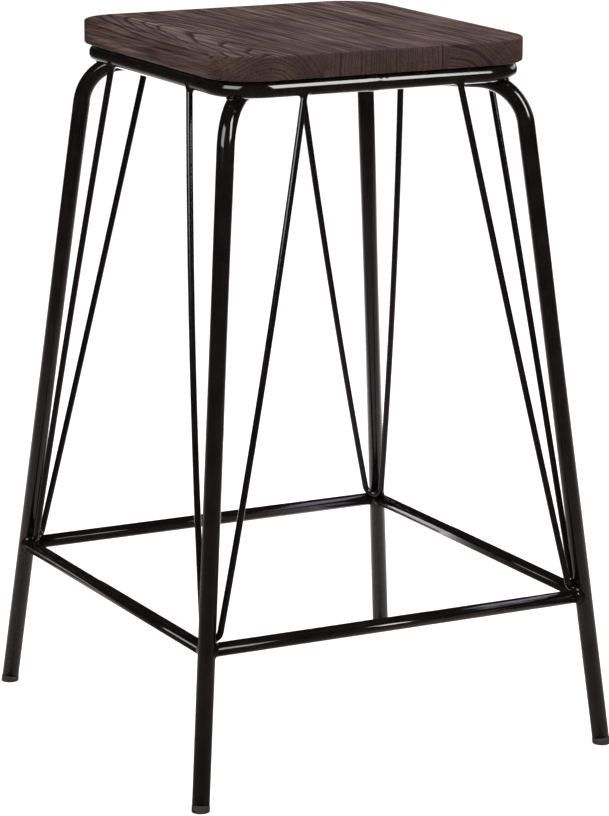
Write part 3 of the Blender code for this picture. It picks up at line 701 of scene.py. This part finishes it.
def make_plating(name, dark, light, smooth, rough):
    """Plated or turned metal: fine turning marks, cloudy in tone, with rubbed and dull patches."""
    material, shader, place = new_finish(name)
    cloud = add(material, "ShaderNodeTexNoise", {"Vector": place, "Scale": 260, "Detail": 4})
    marks = add(material, "ShaderNodeTexNoise", {"Vector": place, "Scale": 2400, "Detail": 2})
    tone = add(material, "ShaderNodeValToRGB", {"Fac": cloud.outputs["Fac"]})
    set_stops(tone, [(0.3, dark), (0.7, light)])
    dull = add(material, "ShaderNodeMapRange", {
        "Value": cloud.outputs["Fac"], "From Min": 0.3, "From Max": 0.7, "To Min": smooth, "To Max": rough,
    })
    bump = add(material, "ShaderNodeBump", {
        "Height": marks.outputs["Fac"], "Strength": 0.3, "Distance": 0.00003,
    })
    links = material.node_tree.links
    links.new(tone.outputs["Color"], shader.inputs["Base Color"])
    links.new(dull.outputs["Result"], shader.inputs["Roughness"])
    links.new(bump.outputs["Normal"], shader.inputs["Normal"])
    shader.inputs["Metallic"].default_value = 1
    return material


def rounded(radius, bottom, top, rounding, steps=4):
    """The outside of a turned disc, from its lower flat to its upper flat, with rounded corners."""
    outline = []
    for step in range(steps + 1):
        angle = step / steps * math.pi / 2
        spread = radius - rounding * (1 - math.sin(angle))
        outline.append((spread, bottom + rounding * (1 - math.cos(angle))))
    return outline + [(spread, bottom + top - height) for spread, height in reversed(outline)]


zinc_plate = make_plating("zinc_plate", (0.42, 0.42, 0.45), (0.66, 0.66, 0.68), 0.22, 0.42)
brass = make_plating("brass", (0.48, 0.33, 0.15), (0.72, 0.53, 0.27), 0.25, 0.45)
for side_name in SIDES:
    low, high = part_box("seat_screw_" + side_name)
    head_top = low.z + SCREW_HEAD_HEIGHT
    bm = bmesh.new()
    turn_on_lathe(bm, [
        (0, low.z + SOCKET_DEPTH), (SOCKET_FLAT, low.z + SOCKET_DEPTH), (SOCKET_FLAT, low.z),
        *rounded((high.x - low.x) / 2, low.z, head_top, SCREW_EDGE_ROUND),
        (SCREW_SHANK_RADIUS, head_top), (SCREW_SHANK_RADIUS, high.z - SCREW_EDGE_ROUND),
        (SCREW_SHANK_RADIUS - SCREW_EDGE_ROUND, high.z), (0, high.z),
    ], SCREW_SIDES)
    for vert in bm.verts:
        # The round socket is broached out to a hexagon.
        radius = math.hypot(vert.co.x, vert.co.y)
        if radius > 0 and abs(radius - SOCKET_FLAT) < SEAM and vert.co.z < head_top:
            turn = math.atan2(vert.co.y, vert.co.x) % (math.pi / 3) - math.pi / 6
            vert.co.xy = vert.co.xy / math.cos(turn)
    bmesh.ops.translate(bm, verts=bm.verts, vec=((low.x + high.x) / 2, (low.y + high.y) / 2, 0))
    node = "seat_screw_" + side_name
    add_piece(node + "_turned", bm, zinc_plate, [node], smooth_angle=TURNED_ANGLE)
    low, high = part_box("seat_washer_" + side_name)
    bm = bmesh.new()
    outside = rounded((high.x - low.x) / 2, low.z, high.z, WASHER_ROUND)
    bore = SCREW_SHANK_RADIUS + WASHER_PLAY
    turn_on_lathe(bm, [(bore, low.z), *outside, (bore, high.z)], SCREW_SIDES)
    bmesh.ops.translate(bm, verts=bm.verts, vec=((low.x + high.x) / 2, (low.y + high.y) / 2, 0))
    node = "seat_washer_" + side_name
    add_piece(node + "_ring", bm, zinc_plate, [node], smooth_angle=TURNED_ANGLE)
    insert = frame["nodes"]["seat_insert_" + side_name]
    insert.data.materials.clear()
    insert.data.materials.append(brass)


# ------------------------------------------------------------------------------------------------
# The seat. Three staves of an open-grained wood are glued edge to edge, sawn to a rounded square and
# eased along the top and bottom edges, then stained dark brown and given a thin satin coat.

SEAT_CORNER_RADIUS = 0.045
SEAT_CORNER_STEPS = 24
TOP_ROUND = 0.0016
BOTTOM_ROUND = 0.0025
EASED_EDGE_STEPS = 5
FLAT_INSET = 0.0006
GLUE_LINE = 0.00003
STAIN = [(0.25, (0.050, 0.031, 0.028)), (0.55, (0.084, 0.055, 0.050)), (0.8, (0.125, 0.086, 0.079))]
RING_STAIN = (0.012, 0.0065, 0.0055, 1)
DASH_STAIN = (0.010, 0.006, 0.0055, 1)
PORE_STAIN = (0.005, 0.003, 0.003, 1)
PORE_SHARE = 0.8
TOP_RINGS = 0.86
SIDE_RINGS = 0.25
# How much each facing takes the edge tint: partly stain drunk by the sawn ends, partly painted shade
# darkening the sides against the top.
EDGE_STAIN_AND_SHADE = (0.72, 1.0, 0)
EDGE_STAIN_AND_SHADE_TINT = (0.37, 0.24, 0.19, 1)

left_low, left_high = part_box("seat_stave_left")
right_low, right_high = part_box("seat_stave_right")
middle_low, middle_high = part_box("seat_stave_middle")


def blend_colours(material, share, first, second):
    """A colour that goes from the first to the second by the share."""
    return add(material, "ShaderNodeMix", {0: share, 6: first, 7: second}, data_type="RGBA").outputs[2]


def along_grain(material, place, shift, scale):
    """The stave's coordinates, shifted and drawn out along the grain, which runs from front to back."""
    laid = add(material, "ShaderNodeMapping", {"Vector": place, "Location": shift, "Scale": scale})
    return laid.outputs["Vector"]


def draw_rings(material, place, pith, lean, ring_width, wander_reach, seed):
    """Growth rings round the pith: 1 in a year's open spring wood, 0 in its dense summer wood."""
    moved = add(material, "ShaderNodeMapping", {
        "Vector": place, "Location": (-pith[0], 0, -pith[1]), "Rotation": (lean[1], 0, lean[0]),
    }, vector_type="POINT")
    # The rings wander slowly along the grain, and come wide and narrow.
    wander = add(material, "ShaderNodeTexNoise", {
        "Vector": along_grain(material, place, (seed, seed, seed), (14, 3.2, 14)),
        "Scale": 1, "Detail": 3, "Roughness": 0.5,
    })
    sway = add(material, "ShaderNodeVectorMath", {
        0: wander.outputs["Color"], 1: (0.5, 0.5, 0.5),
    }, operation="SUBTRACT")
    swayed = add(material, "ShaderNodeVectorMath", {
        0: sway.outputs["Vector"], 1: (wander_reach, 0, wander_reach), 2: moved.outputs["Vector"],
    }, operation="MULTIPLY_ADD")
    flat = add(material, "ShaderNodeVectorMath", {
        0: swayed.outputs["Vector"], 1: (1, 0, 1),
    }, operation="MULTIPLY")
    radius = add(material, "ShaderNodeVectorMath", {0: flat.outputs["Vector"]}, operation="LENGTH")
    count = add(material, "ShaderNodeMath", {
        0: radius.outputs["Value"], 1: ring_width,
    }, operation="DIVIDE")
    uneven = add(material, "ShaderNodeTexNoise", {
        "W": count.outputs["Value"], "Scale": 0.35, "Detail": 1,
    }, noise_dimensions="1D")
    counted = add(material, "ShaderNodeMath", {
        0: uneven.outputs["Fac"], 1: 2.6, 2: count.outputs["Value"],
    }, operation="MULTIPLY_ADD")
    year = add(material, "ShaderNodeMath", {0: counted.outputs["Value"]}, operation="FRACT")
    spring = add(material, "ShaderNodeValToRGB", {"Fac": year.outputs["Value"]})
    set_stops(spring, [
        (0.0, (0.2, 0.2, 0.2)), (0.05, (1, 1, 1)), (0.2, (0.75, 0.75, 0.75)),
        (0.34, (0.12, 0.12, 0.12)), (1.0, (0, 0, 0)),
    ])
    return spring.outputs["Color"]


def draw_pores(material, place, spring, seed):
    """Open pores: short tubes along the grain, close together in spring wood, scattered in summer wood."""
    pores = add(material, "ShaderNodeTexVoronoi", {
        "Vector": along_grain(material, place, (seed, 0, 0), (1300, 36, 1300)),
        "Scale": 1, "Randomness": 1,
    }, feature="F1")
    wide = add(material, "ShaderNodeMath", {0: spring, 1: 0.42, 2: 0.16}, operation="MULTIPLY_ADD")
    open_pores = add(material, "ShaderNodeMapRange", {
        "Value": pores.outputs["Distance"], "From Min": 0.0, "From Max": wide.outputs["Value"],
        "To Min": 1, "To Max": 0,
    }, interpolation_type="SMOOTHSTEP")
    return open_pores.outputs["Result"]


def draw_dashes(material, place, seed):
    """The longest pores, which show as dark dashes."""
    dashes = add(material, "ShaderNodeTexVoronoi", {
        "Vector": along_grain(material, place, (0, seed, seed), (400, 11, 400)),
        "Scale": 1, "Randomness": 1,
    }, feature="F1")
    dark = add(material, "ShaderNodeMapRange", {
        "Value": dashes.outputs["Distance"], "From Min": 0.10, "From Max": 0.34,
        "To Min": 0.95, "To Max": 0,
    }, interpolation_type="SMOOTHSTEP")
    return dark.outputs["Result"]


def draw_streaks(material, place, seed):
    """Streaks of darker and paler stain: fine ones the length of a finger, and wider bands of them."""
    fibre = add(material, "ShaderNodeTexNoise", {
        "Vector": along_grain(material, place, (0, 0, 0), (460, 8, 460)),
        "Scale": 1, "Detail": 4, "Roughness": 0.65,
    })
    band = add(material, "ShaderNodeTexNoise", {
        "Vector": along_grain(material, place, (seed, seed, 0), (150, 5, 150)),
        "Scale": 1, "Detail": 3, "Roughness": 0.6,
    })
    fine = add(material, "ShaderNodeMapRange", {
        "Value": fibre.outputs["Fac"], "From Min": 0.3, "From Max": 0.7, "To Min": 0.1, "To Max": 1.9,
    })
    bands = add(material, "ShaderNodeMapRange", {
        "Value": band.outputs["Fac"], "From Min": 0.3, "From Max": 0.7, "To Min": 0.66, "To Max": 1.34,
    })
    both = add(material, "ShaderNodeMath", {
        0: fine.outputs["Result"], 1: bands.outputs["Result"],
    }, operation="MULTIPLY")
    return fine.outputs["Result"], both.outputs["Value"]


def draw_stain(material, place, streaks, end_grain, seed):
    """The stain's cloudy tone with its streaks. A sawn end shows only the fibres' ends, so no streaks."""
    cloud = add(material, "ShaderNodeTexNoise", {
        "Vector": along_grain(material, place, (0, seed, 0), (30, 8, 40)), "Scale": 1, "Detail": 3,
    })
    ground = add(material, "ShaderNodeValToRGB", {"Fac": cloud.outputs["Fac"]})
    set_stops(ground, STAIN)
    calmed = add(material, "ShaderNodeMapRange", {"Value": end_grain, "To Min": streaks, "To Max": 1})
    shaded = add(material, "ShaderNodeVectorMath", {
        0: ground.outputs["Color"], "Scale": calmed.outputs["Result"],
    }, operation="SCALE")
    return shaded.outputs["Vector"]


def make_wood(name, pith, lean, ring_width, wander_reach, seed):
    """Stained wood with growth rings round the stave's own pith, which leans, so arches show on top."""
    material, shader, place = new_finish(name)
    spring = draw_rings(material, place, pith, lean, ring_width, wander_reach, seed)
    pores = draw_pores(material, place, spring, seed)
    dashes = draw_dashes(material, place, seed)
    fine_streaks, streaks = draw_streaks(material, place, seed)
    facing = add(material, "ShaderNodeNewGeometry").outputs["Normal"]
    sideways = add(material, "ShaderNodeVectorMath", {0: facing}, operation="ABSOLUTE").outputs["Vector"]
    split = add(material, "ShaderNodeSeparateXYZ", {"Vector": sideways})
    shaded = draw_stain(material, place, streaks, split.outputs["Y"], seed)
    # The long sides show their rings faintly.
    clear_rings = add(material, "ShaderNodeMapRange", {
        "Value": split.outputs["X"], "To Min": TOP_RINGS, "To Max": SIDE_RINGS,
    })
    ring_share = add(material, "ShaderNodeMath", {
        0: spring, 1: clear_rings.outputs["Result"],
    }, operation="MULTIPLY")
    pore_share = add(material, "ShaderNodeMath", {0: pores, 1: PORE_SHARE}, operation="MULTIPLY")
    ringed = blend_colours(material, ring_share.outputs["Value"], shaded, RING_STAIN)
    dashed = blend_colours(material, dashes, ringed, DASH_STAIN)
    pored = blend_colours(material, pore_share.outputs["Value"], dashed, PORE_STAIN)
    # Sawn ends drink more stain than the faces and stay duller. The darker tint on the sides, weighted by
    # which way they face and never on the top, is partly that stain and partly painted shade.
    edge_stain_and_shade = add(material, "ShaderNodeVectorMath", {0: sideways, 1: EDGE_STAIN_AND_SHADE}, operation="DOT_PRODUCT")
    tint = blend_colours(material, edge_stain_and_shade.outputs["Value"], (1, 1, 1, 1), EDGE_STAIN_AND_SHADE_TINT)
    stained = add(material, "ShaderNodeVectorMath", {0: pored, 1: tint}, operation="MULTIPLY")
    dull = add(material, "ShaderNodeMapRange", {"Value": pores, "To Min": 0.42, "To Max": 0.8})
    duller = add(material, "ShaderNodeMath", {
        0: edge_stain_and_shade.outputs["Value"], 1: 0.25, 2: dull.outputs["Result"],
    }, operation="MULTIPLY_ADD")
    # The pores and the spring wood are sunk, and the fibre stands a little proud.
    relief = add(material, "ShaderNodeMath", {0: pores, 1: -1.0, 2: fine_streaks}, operation="MULTIPLY_ADD")
    sunk = add(material, "ShaderNodeMath", {
        0: spring, 1: -0.9, 2: relief.outputs["Value"],
    }, operation="MULTIPLY_ADD")
    bump = add(material, "ShaderNodeBump", {
        "Height": sunk.outputs["Value"], "Strength": 0.6, "Distance": 0.00025,
    })
    links = material.node_tree.links
    links.new(stained.outputs["Vector"], shader.inputs["Base Color"])
    links.new(duller.outputs["Value"], shader.inputs["Roughness"])
    links.new(bump.outputs["Normal"], shader.inputs["Normal"])
    shader.inputs["Specular IOR Level"].default_value = 0.22
    return material


def saw(bm, x, keep_right):
    """Saws the board along the grain, keeps one side and closes the cut."""
    made = bmesh.ops.bisect_plane(
        bm, geom=bm.verts[:] + bm.edges[:] + bm.faces[:], plane_co=(x, 0, 0), plane_no=(1, 0, 0),
        clear_inner=keep_right, clear_outer=not keep_right,
    )
    bmesh.ops.contextual_create(bm, geom=only(bmesh.types.BMEdge, made["geom_cut"]))


def make_stave(name, left, right, wood):
    """One stave: the whole seat with its eased edges, sawn at the glue lines on its left and right."""
    size = Vector((right_high.x - left_low.x, left_high.y - left_low.y, left_high.z - left_low.z))
    centre = Vector((0, 0, (left_high.z + left_low.z) / 2))
    bm = bmesh.new()
    bmesh.ops.create_cube(bm, size=1, matrix=Matrix.Translation(centre) @ Matrix.Diagonal((*size, 1)))
    upright = [edge for edge in bm.edges if edge.verts[0].co.xy == edge.verts[1].co.xy]
    bmesh.ops.bevel(
        bm, geom=upright, offset=SEAT_CORNER_RADIUS, offset_type="OFFSET", segments=SEAT_CORNER_STEPS,
        profile=0.5, affect="EDGES", material=-1,
    )
    for direction, rounding in ((1, TOP_ROUND), (-1, BOTTOM_ROUND)):
        flats = [face for face in bm.faces if face.normal.z * direction > 0.9]
        bmesh.ops.bevel(
            bm, geom=[edge for face in flats for edge in face.edges], offset=rounding, offset_type="OFFSET",
            segments=EASED_EDGE_STEPS, profile=0.5, affect="EDGES", material=-1,
        )
    flats = [face for face in bm.faces if abs(face.normal.z) > 0.999]
    bmesh.ops.inset_individual(bm, faces=flats, thickness=FLAT_INSET)
    if left is not None:
        saw(bm, left + GLUE_LINE, True)
    if right is not None:
        saw(bm, right - GLUE_LINE, False)
    bmesh.ops.recalc_face_normals(bm, faces=bm.faces)
    add_piece(name + "_board", bm, wood, [name])


left_joint = (left_high.x + middle_low.x) / 2
right_joint = (right_low.x + middle_high.x) / 2
left_wood = make_wood(
    "stained_wood_left", pith=(-0.108, 0.600), lean=(0.05, 0.08),
    ring_width=0.0038, wander_reach=0.014, seed=3.1,
)
middle_wood = make_wood(
    "stained_wood_middle", pith=(-0.23, 0.65), lean=(0.03, 0.02),
    ring_width=0.0034, wander_reach=0.010, seed=8.7,
)
right_wood = make_wood(
    "stained_wood_right", pith=(0.045, 0.575), lean=(-0.02, 0.03),
    ring_width=0.0036, wander_reach=0.014, seed=5.3,
)
make_stave("seat_stave_left", None, left_joint, left_wood)
make_stave("seat_stave_middle", left_joint, right_joint, middle_wood)
make_stave("seat_stave_right", right_joint, None, right_wood)


# ------------------------------------------------------------------------------------------------
# The floor, the light and the camera. The stool stands on a plain white floor between two softboxes,
# with a dim panel on its far side and a wide soft light from the ceiling. The room beyond is dark.

LIT_MIDDLE = (0.75, 1.3, 0)
LIT_FLOOR = 0.6
GLARE_END = 1.2
GLARE = 2
DARK_FLOOR = 2.2
FLOOR_HALF = 60
FLOOR_GAP = 0.0002


def make_floor_paint():
    """White floor. In gloss only, it shows a painted pool of light and a painted glow behind the stool, and
    a painted dark in front, outside the lights.
    """
    material, shader, place = new_finish("floor_paint")
    mottle = add(material, "ShaderNodeTexNoise", {"Vector": place, "Scale": 3, "Detail": 3})
    white = add(material, "ShaderNodeValToRGB", {"Fac": mottle.outputs["Fac"]})
    set_stops(white, [(0.2, (0.90, 0.90, 0.90)), (0.8, (0.93, 0.93, 0.93))])
    from_lit = add(material, "ShaderNodeVectorMath", {0: place, 1: LIT_MIDDLE}, operation="DISTANCE")
    fade = add(material, "ShaderNodeMapRange", {
        "Value": from_lit.outputs["Value"], "From Min": LIT_FLOOR, "From Max": DARK_FLOOR,
    })
    painted_gloss_light = add(material, "ShaderNodeValToRGB", {"Fac": fade.outputs["Result"]})
    set_stops(painted_gloss_light, [
        (0.0, (1, 0.97, 1)), (0.25, (0.45, 0.42, 0.42)), (0.5, (0.26, 0.23, 0.22)),
        (0.75, (0.07, 0.055, 0.05)), (1.0, (0.03, 0.022, 0.022)),
    ])
    # Glossy rays see painted light on the floor: a bright pool with a painted glow round the lit middle,
    # fading to painted dark further out.
    in_gloss = add(material, "ShaderNodeLightPath").outputs["Is Glossy Ray"]
    flare = add(material, "ShaderNodeMapRange", {
        "Value": from_lit.outputs["Value"], "From Min": LIT_FLOOR, "From Max": GLARE_END,
        "To Min": GLARE, "To Max": 0,
    })
    painted_glare = add(material, "ShaderNodeMath", {0: flare.outputs["Result"], 1: in_gloss}, operation="MULTIPLY")
    shown = blend_colours(material, in_gloss, white.outputs["Color"], painted_gloss_light.outputs["Color"])
    links = material.node_tree.links
    links.new(shown, shader.inputs["Base Color"])
    links.new(painted_glare.outputs["Value"], shader.inputs["Emission Strength"])
    shader.inputs["Emission Color"].default_value = (0.97, 0.95, 1, 1)
    shader.inputs["Roughness"].default_value = 0.9
    shader.inputs["Specular IOR Level"].default_value = 0.1
    return material


floor_mesh = bpy.data.meshes.new("floor")
bm = bmesh.new()
bmesh.ops.create_grid(bm, x_segments=1, y_segments=1, size=FLOOR_HALF)
bm.to_mesh(floor_mesh)
bm.free()
floor_mesh.materials.append(make_floor_paint())
floor = bpy.data.objects.new("floor", floor_mesh)
bpy.context.scene.collection.objects.link(floor)
floor.location.z = cad_box[0].z - FLOOR_GAP

LIGHT_TARGET = Vector((0, 0, 0.45))


def from_stool(azimuth, elevation):
    """The direction from the stool to a light. The azimuth goes from the front towards the right."""
    turn = math.radians(azimuth)
    level = math.cos(math.radians(elevation))
    return Vector((math.sin(turn) * level, -math.cos(turn) * level, math.sin(math.radians(elevation))))


def place_light(light, out, distance):
    """Puts a light at a distance along a direction out from the stool, and aims it at the stool."""
    holder = bpy.data.objects.new(light.name, light)
    bpy.context.scene.collection.objects.link(holder)
    holder.location = LIGHT_TARGET + out * distance
    holder.rotation_euler = (-out).to_track_quat("-Z", "Y").to_euler()
    return holder


def hang_softbox(name, azimuth, elevation, distance, width, height, power, colour):
    light = bpy.data.lights.new(name, "AREA")
    light.shape = "RECTANGLE"
    light.size = width
    light.size_y = height
    light.energy = power
    light.color = colour
    place_light(light, from_stool(azimuth, elevation), distance)


hang_softbox(
    "key_softbox", azimuth=26.6, elevation=30, distance=2.6, width=0.845, height=1.5, power=60,
    colour=(1, 0.99, 0.97),
)
hang_softbox(
    "side_softbox", azimuth=-69, elevation=28, distance=2.6, width=1.5, height=1.5, power=50,
    colour=(0.97, 0.98, 1),
)
hang_softbox(
    "far_panel", azimuth=112, elevation=16, distance=2.8, width=1.6, height=1.0, power=9,
    colour=(0.86, 0.84, 1),
)

# The ceiling gives the whole stool an even light, and doesn't show in its gloss.
ceiling_light = bpy.data.lights.new("ceiling_bounce", "SUN")
ceiling_light.angle = math.radians(120)
ceiling_light.energy = 3.0
ceiling_light.color = (1, 1, 1)
bounce = place_light(ceiling_light, from_stool(azimuth=200, elevation=75), 0)
bounce.visible_glossy = False

ROOM_LIGHT = 0.3
ROOM_IN_GLOSS = 0.015

world = bpy.data.worlds.new("studio")
bpy.context.scene.world = world
world.use_nodes = True
room = world.node_tree.nodes["Background"]
room.inputs["Color"].default_value = (1, 1, 1, 1)
in_gloss = add(world, "ShaderNodeLightPath").outputs["Is Glossy Ray"]
strength = add(world, "ShaderNodeMapRange", {
    "Value": in_gloss, "To Min": ROOM_LIGHT, "To Max": ROOM_IN_GLOSS,
})
world.node_tree.links.new(strength.outputs["Result"], room.inputs["Strength"])

bpy.context.scene.view_settings.view_transform = "Standard"

CAMERA_PLACE = Vector((-1.52936, -2.92938, 1.08097))
CAMERA_TURN = math.radians(-27.662)
CAMERA_DIP = math.radians(13.306)
CAMERA_ROLL = math.radians(0.208)
CAMERA_LENS = 158.66
CAMERA_SENSOR = 36

camera_data = bpy.data.cameras.new("camera")
camera_data.lens = CAMERA_LENS
camera_data.sensor_width = CAMERA_SENSOR
camera = bpy.data.objects.new("camera", camera_data)
bpy.context.scene.collection.objects.link(camera)
camera.matrix_world = (
    Matrix.Translation(CAMERA_PLACE) @ Matrix.Rotation(CAMERA_TURN, 4, "Z")
    @ Matrix.Rotation(math.pi / 2 - CAMERA_DIP, 4, "X") @ Matrix.Rotation(CAMERA_ROLL, 4, "Z")
)
bpy.context.scene.camera = camera
